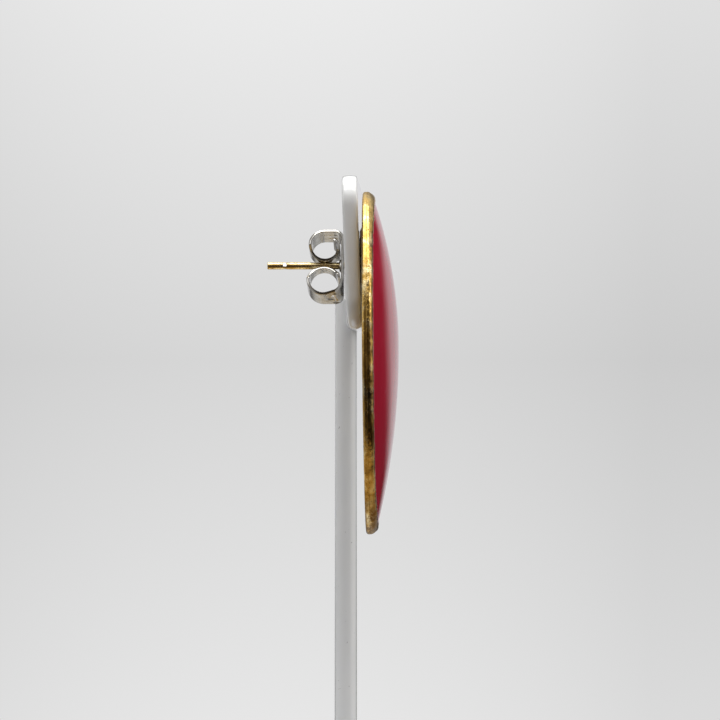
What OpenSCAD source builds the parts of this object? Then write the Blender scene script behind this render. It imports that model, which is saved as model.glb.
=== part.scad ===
// Statement earring: an oval gilt setting that holds a red domed stone, worn on a straight post
// that a silver butterfly clutch grips, and pinned to the bar of a small white display stand.
// +X is the front of the earring, +Z is up, and the origin is the centre of the stand's underside.

/* [Earring] */
// Height of the oval setting
earring_h = 38; // [34:0.5:40]
// Width of the oval setting
earring_w = 28; // [24:0.5:32]
// Radius of the oval's upper and lower end
end_r = 10.5; // [8:0.1:11]
// Depth of the setting from its back to the crest of its lip
rim_d = 1.2; // [1.15:0.05:1.8]
// Thickness of the setting's upright wall
wall_t = 0.8; // [0.6:0.05:1.2]
// Thickness of the setting's back plate
back_t = 0.5; // [0.3:0.05:0.7]
// Radius of the lip's rounded front edge
lip_r = 0.6; // [0.2:0.05:0.6]
// Height of the stone's edge above the setting's back
stone_edge = 1.35; // [1.25:0.05:2]
// Height of the dome's highest point above the setting's back
dome_top = 3.8; // [3:0.05:6]
// Distance of the dome's highest point above the middle of the oval
dome_up = 2.5; // [0:0.1:4]
// Forward lean of the setting's lower edge, in degrees
earring_lean = 0.6; // [0:0.05:0.8]

/* [Post] */
// Diameter of the post
post_d = 0.78; // [0.7:0.01:0.9]
// Length of the post behind the setting
post_l = 10.7; // [10:0.1:13]
// Height of the post above the middle of the setting
post_up = 10.8; // [6:0.1:12]
// Distance of the friction notch from the post's tip
notch_from_tip = 1.95; // [1:0.05:3]

/* [Clutch] */
// Thickness of the clutch's sheet
sheet_t = 0.3; // [0.25:0.01:0.34]
// Width of the clutch's strip
strip_w = 3.9; // [3.4:0.1:4.5]
// Width of the strip where it grips the post
grip_w = 1.8; // [1.4:0.1:2.4]
// Reach of the upper loop from the post's axis
upper_reach = 3.65; // [3.4:0.05:4.2]
// Reach of the lower loop from the post's axis
lower_reach = 3.9; // [3.4:0.05:4.2]
// Depth of the upper loop along the post
upper_depth = 3.9; // [3.6:0.05:4.3]
// Depth of the lower loop along the post
lower_depth = 4.1; // [3.6:0.05:4.3]
// Turn of the upper loop's curl, in degrees
upper_curl = 312; // [220:1:320]
// Turn of the lower loop's curl, in degrees
lower_curl = 266; // [220:1:320]
// Turn of the clutch about the post, in degrees
clutch_turn = 15; // [0:1:30]

/* [Stand] */
// Height of the whole stand
stand_h = 89.8; // [75:0.1:140]
// Length of the stand's bar
bar_l = 64; // [56:1:90]
// Height of the bar
bar_h = 17; // [16.6:0.2:22]
// Thickness of the bar
bar_t = 1.7; // [1.5:0.1:2.2]
// Radius of the bar's rounded corners
bar_corner = 3.5; // [1:0.1:6]
// Backward lean of the bar's top, in degrees
bar_lean = 2; // [1.5:0.1:2.1]
// Diameter of the two holes in the bar
hole_d = 1.2; // [1.1:0.1:1.6]
// Distance of each hole from the bar's top edge
hole_drop = 9.9; // [9.6:0.1:11]
// Distance of each hole from its end of the bar
hole_inset = 5.5; // [4:0.1:10]
// Diameter of the stem
stem_d = 2.7; // [2.4:0.1:3]
// Length of the stem's top that is let into the back of the bar
stem_lap = 4.2; // [3:0.1:5]
// Diameter of the round base
base_d = 60; // [50:1:90]
// Thickness of the base
base_t = 4; // [3:0.5:8]

/* [Hidden] */
$fn = 72;

// Gap left between pieces that are seated on each other
seat_gap = 0.03;
// Overlap of solids that are joined into one, and run-out of cuts
joined = 0.2;
// Turn between two points of an arc that is drawn with points, in degrees
arc_step = 6;

// Stand
bar_x = 1.57;
hole_z = stand_h - hole_drop;
hole_y = bar_l / 2 - hole_inset;
bar_bottom_z = hole_z + hole_drop - bar_h;
stem_bottom_z = base_t / 2;
base_edge_r = 1.5;

// Setting, whose post lies in the hole at the bar's low-Y end
setting_gap = 0.32;
setting_x = bar_x + bar_t / 2 + setting_gap;
back_edge = 0.2;

// Oval outline, drawn flat with its height along X: two ends and two flatter sides, all arcs
// that run into each other. The ends' centres are at X = end_x and -end_x, and the sides'
// centres at Y = side_y and -side_y.
end_x = earring_h / 2 - end_r;
half_diff = (earring_h - earring_w) / 2;
side_y = half_diff * (2 * end_x - half_diff) / (2 * (end_x - half_diff));
side_r = earring_w / 2 + side_y;
end_turn = atan(side_y / end_x);

// Post: its root stands in a shallow socket in the back plate, inside a small ring of solder
notch_r = 0.7;
notch_depth = 0.06;
tip_chamfer = 0.1;
socket_depth = 0.25;
socket_gap = 0.01;
solder_d = post_d + 0.3;
solder_h = 0.2;
solder_off = solder_d / 2 * sin(earring_lean);

// Stone: a straight skirt in the setting's pocket, and a dome drawn as shrinking ovals
stone_inset = wall_t + seat_gap;
stone_h = earring_h - 2 * stone_inset;
stone_floor = back_t + seat_gap;
dome_rise = dome_top - stone_edge;
dome_r = (pow(stone_h / 2, 2) + pow(dome_rise, 2)) / (2 * dome_rise);
dome_rings = 10;

// Clutch: a bent strip whose face rests on the leaning bar, with a groove for the post
groove_d = post_d + 0.04;
grip_half = 0.28;
collar_d = 1.5;
collar_h = 0.25;
corner_r = 0.85;
scallop_at = [1.9, strip_w / 2];
clutch_rest_v = 3.1;
clutch_x = bar_x - bar_t / 2 - clutch_rest_v * tan(bar_lean) - seat_gap;

// Points of an arc about c from angle a to angle b
function arc(c, r, a, b) =
    let (n = ceil(abs(b - a) / arc_step))
    [for (i = [0:n]) c + r * [cos(a + (b - a) * i / n), sin(a + (b - a) * i / n)]];

function reversed(list) = [for (i = [len(list) - 1:-1:0]) list[i]];

// Outline of one half of the clutch: u runs along the post from the clutch's face and v away
// from the post. The strip turns a small corner, then curls back to the post in one arc.
function loop_outline(reach, depth, curl_turn) =
    let (
        top = reach - sheet_t / 2,
        curl_r = (top - grip_half - sheet_t / 2) / 2,
        corner = [sheet_t / 2 + corner_r, top - corner_r],
        curl = [depth - sheet_t / 2 - curl_r, top - curl_r],
        curl_end = 90 - curl_turn,
        outer = sheet_t / 2,
        inner = -sheet_t / 2
    )
    concat(
        [[0, 0]],
        arc(corner, corner_r + outer, 180, 90),
        arc(curl, curl_r + outer, 90, curl_end),
        arc(curl, curl_r + inner, curl_end, 90),
        arc(corner, corner_r + inner, 90, 180),
        [[sheet_t, 0]]
    );

function mirrored(outline) = [for (p = outline) [p[0], -p[1]]];

// Height of the dome above the setting's back where the oval has shrunk to the part k of its size
function dome_x(k) = dome_top - dome_r + sqrt(pow(dome_r, 2) - pow(k * stone_h / 2, 2));

// Points of the oval outline that lies by inset inside the earring's own, drawn flat. Each arc
// leaves out its last point, which is the next arc's first.
function outline(inset) = [
    for (a = [
        arc([end_x, 0], end_r - inset, -end_turn, end_turn),
        arc([0, -side_y], side_r - inset, end_turn, 180 - end_turn),
        arc([-end_x, 0], end_r - inset, 180 - end_turn, 180 + end_turn),
        arc([0, side_y], side_r - inset, 180 + end_turn, 360 - end_turn)
    ])
        for (i = [0:len(a) - 2]) a[i]
];

// A turned disc of radius r. Each point of rim is [distance outside the radius, height].
module disc(r, rim) {
    last = rim[len(rim) - 1];
    rotate_extrude()
        polygon(concat([[0, rim[0][1]]], [for (p = rim) [r + p[0], p[1]]], [[0, last[1]]]));
}

// An oval slab that stands in the Y-Z plane and whose edge all round has the profile rim
module oval_slab(rim) {
    join_x = side_r * cos(end_turn);
    rotate([0, 90, 0]) {
        for (x = [-end_x, end_x])
            translate([x, 0, 0])
                disc(end_r, rim);
        intersection() {
            translate([0, -side_y, 0]) disc(side_r, rim);
            translate([0, side_y, 0]) disc(side_r, rim);
            translate([-join_x, -earring_w / 2, -rim_d])
                cube([2 * join_x, earring_w, 3 * rim_d]);
        }
    }
}

// A band along the oval, in the Y-Z plane. Each point of profile, which runs once round the band's
// cross-section, is [inset from the oval outline, height].
module oval_band(profile) {
    rows = [for (p = profile) [for (q = outline(p[0])) [p[1], q[1], -q[0]]]];
    m = len(rows);
    n = len(rows[0]);
    faces = [for (r = [0:m - 1], i = [0:n - 1], half = [0, 1])
        let (r2 = (r + 1) % m, i2 = (i + 1) % n)
        half == 0 ? [r * n + i, r2 * n + i, r * n + i2] : [r * n + i2, r2 * n + i, r2 * n + i2]];
    polyhedron([for (row = rows) each row], faces, convexity = 6);
}

// The stone's solid, through one oval per row of levels, with the columns [x, part of the full
// size, height of its middle]. The first row is the flat underside, and the last the top point.
module oval_loft(outline, levels) {
    n = len(outline);
    rings = len(levels) - 1;
    foot = n * rings;
    points = concat(
        [for (l = [0:rings - 1], p = outline)
            [levels[l][0], levels[l][1] * p[1], levels[l][2] - levels[l][1] * p[0]]],
        [[levels[0][0], 0, 0], [levels[rings][0], 0, levels[rings][2]]]
    );
    sides = [for (l = [0:rings - 2], i = [0:n - 1], half = [0, 1])
        let (a = l * n + i, b = l * n + (i + 1) % n)
        half == 0 ? [a, a + n, b] : [b, a + n, b + n]];
    ends = [for (i = [0:n - 1], end = [0, 1])
        let (j = (i + 1) % n)
        end == 0 ? [foot, i, j] : [foot + 1, (rings - 1) * n + j, (rings - 1) * n + i]];
    polyhedron(points, concat(sides, ends), convexity = 4);
}

// Places a child at the middle of the setting's back, which leans about the post's root
module at_setting() {
    translate([setting_x, -hole_y, hole_z])
        rotate([0, -earring_lean, 0])
            translate([0, 0, -post_up])
                children();
}

// Places a child on the post's axis with +Z running from the setting to the post's tip
module along_post(from_x) {
    translate([from_x, -hole_y, hole_z])
        rotate([0, -90, 0])
            children();
}

// Places a child at the height of the holes, with +X as the normal of the leaning bar
module at_bar() {
    translate([bar_x, 0, hole_z])
        rotate([0, -bar_lean, 0])
            children();
}

module bar_blank() {
    corner_y = bar_l / 2 - bar_corner;
    corner_z = [hole_drop - bar_h + bar_corner, hole_drop - bar_corner];
    for (y = [-corner_y, corner_y], z = corner_z)
        translate([-bar_t / 2, y, z])
            rotate([0, 90, 0])
                cylinder(r = bar_corner, h = bar_t);
    translate([-bar_t / 2, -bar_l / 2, corner_z[0]])
        cube([bar_t, bar_l, corner_z[1] - corner_z[0]]);
    translate([-bar_t / 2, -corner_y, hole_drop - bar_h])
        cube([bar_t, 2 * corner_y, bar_h]);
}

module stand_base() {
    color("whitesmoke")
        difference() {
            rotate_extrude() {
                square([base_d / 2, base_t - base_edge_r]);
                square([base_d / 2 - base_edge_r, base_t]);
                translate([base_d / 2 - base_edge_r, base_t - base_edge_r])
                    circle(r = base_edge_r);
            }
            translate([0, 0, stem_bottom_z])
                cylinder(d = stem_d + 2 * seat_gap, h = base_t);
        }
}

module stand_stem() {
    color("whitesmoke")
        translate([0, 0, stem_bottom_z + seat_gap])
            cylinder(d = stem_d, h = bar_bottom_z + stem_lap - stem_bottom_z - seat_gap);
}

module stand_bar() {
    color("white")
        difference() {
            at_bar()
                difference() {
                    bar_blank();
                    for (y = [-hole_y, hole_y])
                        translate([-bar_t, y, 0])
                            rotate([0, 90, 0])
                                cylinder(d = hole_d, h = 2 * bar_t);
                }
            translate([0, 0, bar_bottom_z - joined])
                cylinder(d = stem_d + 2 * seat_gap, h = stem_lap + joined + seat_gap);
        }
}

module back_plate() {
    color("gold")
        difference() {
            at_setting() oval_slab([[-back_edge, 0], [0, back_edge], [0, back_t]]);
            along_post(setting_x)
                translate([0, 0, -socket_depth - socket_gap])
                    cylinder(d = post_d + 2 * socket_gap, h = socket_depth + joined);
        }
}

module bezel() {
    color("gold")
        at_setting()
            oval_band(concat(
                [[wall_t, back_t], [0, back_t]],
                [for (p = arc([-lip_r, rim_d - lip_r], lip_r, 0, 90)) [-p[0], p[1]]],
                [[wall_t, rim_d]]
            ));
}

module post() {
    color("gold")
        along_post(setting_x)
            difference() {
                union() {
                    translate([0, 0, -socket_depth])
                        cylinder(d = post_d, h = socket_depth + post_l - tip_chamfer);
                    translate([0, 0, post_l - tip_chamfer])
                        cylinder(d1 = post_d, d2 = post_d - 2 * tip_chamfer, h = tip_chamfer);
                    translate([0, 0, solder_off])
                        cylinder(d1 = solder_d, d2 = post_d, h = solder_h);
                }
                translate([0, 0, post_l - notch_from_tip])
                    rotate_extrude()
                        translate([post_d / 2 - notch_depth + notch_r, 0])
                            circle(r = notch_r);
            }
}

module stone() {
    color("crimson")
        at_setting()
            oval_loft(
                outline(stone_inset),
                concat(
                    [[stone_floor, 1, 0]],
                    [for (i = [0:dome_rings - 1])
                        let (k = cos(90 * i / dome_rings))
                        [dome_x(k), k, dome_up * (1 - k)]],
                    [[dome_top, 0, dome_up]]
                )
            );
}

// Rounds off the strip's two edges towards the post, beyond the clutch's face plate
module scallops() {
    side = scallop_at[1] - grip_w / 2;
    scallop_r = (pow(scallop_at[0], 2) + pow(side, 2)) / (2 * side);
    for (s = [-1, 1])
        translate([0, s * (grip_w / 2 + scallop_r), 2 * sheet_t])
            cylinder(r = scallop_r, h = lower_depth + upper_depth);
}

module clutch() {
    color("silver")
        along_post(clutch_x)
            rotate([0, 0, clutch_turn])
                difference() {
                    union() {
                        rotate([0, 90, 0])
                            mirror([1, 0, 0])
                                rotate([90, 0, 0])
                                    linear_extrude(strip_w, center = true)
                                        polygon(concat(
                                            loop_outline(upper_reach, upper_depth, upper_curl),
                                            reversed(mirrored(
                                                loop_outline(lower_reach, lower_depth, lower_curl)
                                            ))
                                        ));
                        cylinder(d = collar_d, h = sheet_t + collar_h);
                    }
                    scallops();
                    translate([0, 0, -joined])
                        cylinder(d = groove_d, h = lower_depth + upper_depth);
                }
}

stand_base();
stand_stem();
stand_bar();
back_plate();
bezel();
post();
stone();
clutch();
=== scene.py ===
import math

import bmesh
import bpy
from mathutils import Matrix, Vector, noise
from mathutils.geometry import tessellate_polygon


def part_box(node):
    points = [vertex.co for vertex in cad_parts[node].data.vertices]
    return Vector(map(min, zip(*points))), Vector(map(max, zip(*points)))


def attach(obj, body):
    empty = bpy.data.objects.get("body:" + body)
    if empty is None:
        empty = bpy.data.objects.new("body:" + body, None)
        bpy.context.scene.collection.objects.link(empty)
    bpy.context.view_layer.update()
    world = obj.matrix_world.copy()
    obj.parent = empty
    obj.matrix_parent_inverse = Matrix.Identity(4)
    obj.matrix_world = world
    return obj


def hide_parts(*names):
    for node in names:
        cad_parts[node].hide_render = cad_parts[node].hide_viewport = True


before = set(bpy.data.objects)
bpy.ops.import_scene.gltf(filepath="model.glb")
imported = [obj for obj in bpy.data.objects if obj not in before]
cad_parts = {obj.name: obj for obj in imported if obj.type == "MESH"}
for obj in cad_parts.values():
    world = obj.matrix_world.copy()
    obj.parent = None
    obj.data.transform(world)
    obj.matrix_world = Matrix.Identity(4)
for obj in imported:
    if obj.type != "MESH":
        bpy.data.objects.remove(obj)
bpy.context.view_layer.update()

scene = bpy.context.scene
mm = 0.001  # the sizes below are in millimetres and the angles in degrees
mergeWithin = 0.0004  # points of a mesh closer than this become one
print("frame loaded:", sorted(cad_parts))

# the post's axis, read from its node's box
postLow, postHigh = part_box("post")
postY = (postLow.y + postHigh.y) / 2 / mm
postZ = (postLow.z + postHigh.z) / 2 / mm


def leaning(at, degrees):
    # a place at a point, turned about Y
    return Matrix.Translation(at) @ Matrix.Rotation(math.radians(degrees), 4, "Y")


# where the back meets the post, how far the setting leans, and the post's height above its middle
setting = {"backX": 2.74, "lean": 0.6, "postUp": 10.8}
postRoot = (setting["backX"], postY, postZ)
settingPlace = leaning(postRoot, -setting["lean"]) @ Matrix.Translation((0, 0, -setting["postUp"]))
postPlace = leaning(postRoot, -90)


def addPiece(name, data):
    piece = bpy.data.objects.new(name, data)
    scene.collection.objects.link(piece)
    return piece


def closeMesh(mesh, place):
    # merges doubles, turns the faces outward and brings millimetres to their place in metres
    bm = bmesh.new()
    bm.from_mesh(mesh)
    bmesh.ops.remove_doubles(bm, verts=bm.verts, dist=mergeWithin)
    bmesh.ops.recalc_face_normals(bm, faces=bm.faces)
    bm.to_mesh(mesh)
    bm.free()
    mesh.transform(Matrix.Scale(mm, 4) @ place)
    mesh.shade_smooth()
    mesh.update()
    return mesh


def plainMesh(piece):
    # what the piece's modifiers make of it, as a mesh of its own
    return bpy.data.meshes.new_from_object(piece.evaluated_get(bpy.context.evaluated_depsgraph_get()))


def addRow(points, row):
    # adds a row of points and returns their numbers
    points.extend(row)
    return range(len(points) - len(row), len(points))


def joinRows(index):
    # the faces between rows that follow one another, each a closed ring or one single pole
    faces = []
    for low, high in zip(index, index[1:]):
        count = max(len(low), len(high))
        for i in range(count):
            j = (i + 1) % count
            corners = (low[i % len(low)], low[j % len(low)], high[j % len(high)], high[i % len(high)])
            faces.append(list(dict.fromkeys(corners)))
    return faces


def buildMesh(name, points, faces, place):
    mesh = bpy.data.meshes.new(name)
    mesh.from_pydata(points, [], faces)
    return closeMesh(mesh, place)


def skinRows(name, rows, place, closed=False):
    points = []
    index = [addRow(points, row) for row in rows]
    return buildMesh(name, points, joinRows(index + index[:1] if closed else index), place)


def skinPiece(name, rows, place=Matrix.Identity(4)):
    return addPiece(name, skinRows(name, rows, place))


def softPath(corners, steps, support):
    # a line through (x, y, radius) corners, rounded, with a point close to each end of a straight
    path = []
    for i, (x, y, radius) in enumerate(corners):
        here = Vector((x, y))
        if radius <= 0 or i in (0, len(corners) - 1):
            path.append(here)
            continue
        before = Vector(corners[i - 1][:2]) - here
        after = Vector(corners[i + 1][:2]) - here
        a = here + before.normalized() * radius
        b = here + after.normalized() * radius
        if before.length > radius + 2 * support:
            path.append(a + before.normalized() * support)
        for s in range(steps + 1):
            t = s / steps
            path.append(a * (1 - t) ** 2 + here * 2 * t * (1 - t) + b * t ** 2)
        if after.length > radius + 2 * support:
            path.append(b + after.normalized() * support)
    return path


def latheRows(profile, sides):
    # (radius, height) points turned about Z, with a single pole where the radius is nothing
    turn = [2 * math.pi * i / sides for i in range(sides)]
    rows = []
    for radius, height in profile:
        if radius < 1e-5:
            rows.append([(0, 0, height)])
        else:
            rows.append([(radius * math.cos(a), radius * math.sin(a), height) for a in turn])
    return rows


def partWay(low, high, value):
    return min(1, max(0, (value - low) / (high - low)))


def smoothStep(low, high, value):
    t = partWay(low, high, value)
    return t * t * (3 - 2 * t)


def finishPiece(piece, body, node, finish=None):
    if finish:
        piece.data.materials.clear()
        piece.data.materials.append(finish)
    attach(piece, body)
    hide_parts(node)
    print("made", piece.name, len(piece.data.polygons), "faces")


def addNode(tree, kind, inputs=None, **settings):
    node = tree.nodes.new(kind)
    for key, value in settings.items():
        setattr(node, key, value)
    for key, value in (inputs or {}).items():
        if isinstance(value, bpy.types.NodeSocket):
            tree.links.new(value, node.inputs[key])
        else:
            node.inputs[key].default_value = value
    return node


def startMaterial(name, values):
    material = bpy.data.materials.new(name)
    material.use_nodes = True
    tree = material.node_tree
    shader = tree.nodes["Principled BSDF"]
    for key, value in values.items():
        shader.inputs[key].default_value = value
    return material, tree, shader


def feed(tree, shader, inputs):
    for key, value in inputs.items():
        tree.links.new(value, shader.inputs[key])


def objectPlace(tree):
    return addNode(tree, "ShaderNodeTexCoord").outputs["Object"]


def mappedNoise(tree, scale, detail, roughness, turn=(0, 0, 0), distortion=0.0):
    # noise on Object coordinates; scale is features per millimetre along each axis
    place = addNode(tree, "ShaderNodeMapping", {
        "Vector": objectPlace(tree),
        "Rotation": turn,
        "Scale": tuple(1000 * s for s in scale),
    }).outputs["Vector"]
    return addNode(tree, "ShaderNodeTexNoise", {
        "Vector": place,
        "Scale": 1.0,
        "Detail": detail,
        "Roughness": roughness,
        "Distortion": distortion,
    }).outputs["Fac"]


def addRamp(tree, factor, stops):
    ramp = addNode(tree, "ShaderNodeValToRGB", {"Fac": factor})
    while len(ramp.color_ramp.elements) < len(stops):
        ramp.color_ramp.elements.new(0.5)
    for element, (position, colour) in zip(ramp.color_ramp.elements, stops):
        element.position = position
        element.color = (*colour, 1)
    return ramp.outputs["Color"]


def addMath(tree, operation, a, b=None):
    inputs = {0: a} if b is None else {0: a, 1: b}
    return addNode(tree, "ShaderNodeMath", inputs, operation=operation).outputs["Value"]


def plus(tree, a, b):
    return addMath(tree, "ADD", a, b)


def minus(tree, a, b):
    return addMath(tree, "SUBTRACT", a, b)


def times(tree, a, b):
    return addMath(tree, "MULTIPLY", a, b)


def timesVector(tree, vector, factor):
    inputs = {0: vector, "Scale": factor}
    return addNode(tree, "ShaderNodeVectorMath", inputs, operation="SCALE").outputs["Vector"]


def vectorLength(tree, vector):
    return addNode(tree, "ShaderNodeVectorMath", {0: vector}, operation="LENGTH").outputs["Value"]


def mapRange(tree, value, fromLow, fromHigh, toLow=0.0, toHigh=1.0, **settings):
    return addNode(tree, "ShaderNodeMapRange", {
        "Value": value,
        "From Min": fromLow,
        "From Max": fromHigh,
        "To Min": toLow,
        "To Max": toHigh,
    }, **settings).outputs["Result"]


def mixColour(tree, factor, a, b):
    # a and b are sockets or plain colours
    a, b = (value if isinstance(value, bpy.types.NodeSocket) else (*value, 1) for value in (a, b))
    return addNode(tree, "ShaderNodeMix", {0: factor, 6: a, 7: b}, data_type="RGBA").outputs[2]


def addBump(tree, height, distance, strength, below=None):
    inputs = {"Height": height, "Distance": distance, "Strength": strength}
    if below is not None:
        inputs["Normal"] = below
    return addNode(tree, "ShaderNodeBump", inputs).outputs["Normal"]


def farFromMark(tree, middle, half):
    # distance from a mark's middle on Object coordinates, 1 at its edge
    place = addNode(tree, "ShaderNodeMapping", {
        "Vector": objectPlace(tree),
        "Location": tuple(-m / h for m, h in zip(middle, half)),
        "Scale": tuple(1 / (h * mm) for h in half),
    }).outputs["Vector"]
    return vectorLength(tree, place)


giltLook = {
    "bright": (0.90, 0.76, 0.44),
    "plain": (0.60, 0.385, 0.105),
    "tarnish": (0.15, 0.068, 0.013),
    "pit": (0.05, 0.024, 0.007),
    # the setting's lower end, between these heights, is hammered and darkened brown with painted shade
    "lowShade": (0.17, 0.088, 0.020), "lowShadeFrom": 55.2, "lowShadeTo": 52.9, "lowShadeMost": 0.92,
    # and its upper end is painted a brighter gold, as painted light where the highlights fall
    "paintedTopLight": (0.92, 0.63, 0.19), "paintedTopLightFrom": 82.0, "paintedTopLightTo": 87.0, "paintedTopLightMost": 0.6,
    # a white spot painted on the post's notch, as a painted glint
    "paintedGlint": (0.97, 0.96, 0.93), "paintedGlintAt": (-6.02, -26.86, 80.02), "paintedGlintHalf": (0.26, 0.26, 0.24),
}


def makeGilt(name, streaks, wear, roughness, lumps, stained):
    # worn gilt: streaks along the metal, blotches of tarnish, small dents and pits, with painted light: a
    # brighter upper end, painted shade at the lower end and a painted glint on the post's notch
    material, tree, shader = startMaterial(name, {"Metallic": 1.0})
    look = giltLook
    streak = mappedNoise(tree, streaks, 3.0, 0.6)
    blotch = mappedNoise(tree, (0.8, 0.6, 0.6), 4.0, 0.62, distortion=0.5)
    patch = mappedNoise(tree, (0.45, 0.26, 0.26), 3.0, 0.6, turn=(0.4, 0.2, 0.7))
    dent = mappedNoise(tree, (2.1, 1.7, 1.7), 2.0, 0.5, turn=(0.7, 0.1, 0.3))
    speck = mappedNoise(tree, (5.5, 4.5, 4.5), 2.0, 0.5)
    hammered = mappedNoise(tree, (1.5, 1.1, 1.1), 2.0, 0.55, turn=(0.2, 0.5, 0.9))
    tone = plus(tree, times(tree, streak, 0.35), times(tree, blotch, 0.65))
    colour = addRamp(tree, tone, (
        (0.30, look["tarnish"]),
        (0.30 + wear, look["plain"]),
        (0.60, look["bright"]),
    ))
    stain = plus(tree, times(tree, patch, 0.6), times(tree, blotch, 0.4))
    stain = mapRange(tree, stain, 0.505, 0.575, 0.0, stained)
    colour = mixColour(tree, stain, colour, look["tarnish"])
    height = addNode(tree, "ShaderNodeSeparateXYZ", {"Vector": objectPlace(tree)}).outputs["Z"]
    # painted light: the upper end is mixed towards a brighter gold, where the highlights fall
    high = mapRange(tree, height, look["paintedTopLightFrom"] * mm, look["paintedTopLightTo"] * mm, 0.0, look["paintedTopLightMost"])
    colour = mixColour(tree, high, colour, look["paintedTopLight"])
    # painted shade: the lower end is mixed towards a dark brown, broken up by the hammered pattern
    low = mapRange(tree, height, look["lowShadeFrom"] * mm, look["lowShadeTo"] * mm, 0.0, look["lowShadeMost"])
    lowShade = times(tree, low, mapRange(tree, hammered, 0.62, 0.46, 0.45, 1.0))
    colour = mixColour(tree, lowShade, colour, look["lowShade"])
    pits = mapRange(tree, speck, 0.66, 0.74)
    colour = mixColour(tree, pits, colour, look["pit"])
    # painted glint: white at the post's notch
    far = farFromMark(tree, look["paintedGlintAt"], look["paintedGlintHalf"])
    colour = mixColour(tree, mapRange(tree, far, 0.8, 1.1, 1.0, 0.0), colour, look["paintedGlint"])
    coarse = addBump(tree, blotch, 0.00009 * lumps, 0.6)
    middle = addBump(tree, dent, 0.00005 * lumps, 0.6, coarse)
    fine = addBump(tree, streak, 0.000018, 0.7, middle)
    beaten = addBump(tree, times(tree, low, hammered), 0.00022, 0.8, fine)
    feed(tree, shader, {
        "Base Color": colour,
        "Roughness": mapRange(tree, tone, 0.3, 0.7, roughness[1], roughness[0]),
        "Normal": addBump(tree, times(tree, pits, -1.0), 0.00003, 0.8, beaten),
    })
    return material


resinLook = {
    "deep": (0.430, 0.0125, 0.036), "middle": (0.485, 0.0160, 0.046), "pale": (0.545, 0.0210, 0.060),
    "scuff": (0.62, 0.22, 0.26), "scuffMost": 0.55, "roughness": (0.08, 0.13),
}


def makeResin():
    # deep crimson resin, polished, with faint upright streaks and a few pale scuffs
    material, tree, shader = startMaterial("crimsonResin", {
        "IOR": 1.47,
        "Specular IOR Level": 0.5,
        "Subsurface Weight": 0.12,
        "Subsurface Radius": (0.0016, 0.0002, 0.0003),
        "Subsurface Scale": 1.0,
    })
    streak = mappedNoise(tree, (1.6, 0.9, 0.10), 3.0, 0.55)
    cloud = mappedNoise(tree, (0.16, 0.16, 0.12), 2.0, 0.5)
    tone = plus(tree, times(tree, streak, 0.5), times(tree, cloud, 0.5))
    colour = addRamp(tree, tone, (
        (0.30, resinLook["deep"]),
        (0.52, resinLook["middle"]),
        (0.74, resinLook["pale"]),
    ))
    scratch = mappedNoise(tree, (6.0, 6.0, 1.6), 2.0, 0.6, turn=(0.5, 0.3, 0))
    place = mappedNoise(tree, (0.45, 0.45, 0.45), 1.0, 0.5)
    place = mapRange(tree, place, 0.60, 0.68, 0.0, resinLook["scuffMost"])
    scuff = times(tree, mapRange(tree, scratch, 0.66, 0.72), place)
    haze = addBump(tree, cloud, 0.0001, 0.25)
    feed(tree, shader, {
        "Base Color": mixColour(tree, scuff, colour, resinLook["scuff"]),
        "Roughness": mapRange(tree, streak, 0.3, 0.7, *resinLook["roughness"]),
        "Normal": addBump(tree, scuff, 0.00001, 0.6, haze),
    })
    return material


plasticLook = {
    "dull": (0.815, 0.838, 0.858), "clean": (0.865, 0.878, 0.894),
    "dust": (0.20, 0.20, 0.21), "dustMost": 0.55, "roughness": (0.10, 0.24),
}


def makePlastic():
    # white glossy moulding with a slight unevenness, dust specks and hairline scratches
    material, tree, shader = startMaterial("whiteMoulding", {
        "IOR": 1.55,
        "Coat Weight": 1.0,
        "Coat Roughness": 0.03,
        "Subsurface Weight": 0.15,
        "Subsurface Radius": (0.0012, 0.0012, 0.0013),
        "Subsurface Scale": 1.0,
    })
    cloud = mappedNoise(tree, (0.12, 0.12, 0.12), 3.0, 0.5)
    colour = addRamp(tree, cloud, (
        (0.30, plasticLook["dull"]),
        (0.70, plasticLook["clean"]),
    ))
    dust = mappedNoise(tree, (3.2, 3.2, 3.2), 1.0, 0.4)
    dust = mapRange(tree, dust, 0.755, 0.79, 0.0, plasticLook["dustMost"])
    hair = mappedNoise(tree, (0.4, 2.5, 5.0), 2.0, 0.6, turn=(0.9, 0.2, 0.4))
    sink = addBump(tree, cloud, 0.0002, 0.3)
    feed(tree, shader, {
        "Base Color": mixColour(tree, dust, colour, plasticLook["dust"]),
        "Roughness": mapRange(tree, hair, 0.3, 0.75, *plasticLook["roughness"]),
        "Normal": addBump(tree, hair, 0.000004, 0.5, sink),
    })
    return material


sheetLook = {
    "dull": (0.46, 0.445, 0.41), "plain": (0.58, 0.565, 0.535), "bright": (0.70, 0.69, 0.66),
    "roughness": (0.26, 0.13), "tilt": 15.0,  # its lines are turned with the clutch
    "markShade": (0.075, 0.062, 0.035), "markShadeMost": 0.9,
    # painted shade darkening the marks that pliers left on the clutch's lower loop: middle and half size
    "marks": (
        ((-0.825, -26.5, 76.155), (0.42, 3.0, 0.10)),
        ((-0.336, -26.5, 75.830), (0.40, 3.0, 0.12)),
        ((-0.447, -26.5, 76.755), (0.28, 3.0, 0.15)),
        ((0.398, -26.5, 76.730), (0.14, 3.0, 0.15)),
    ),
}


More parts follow.
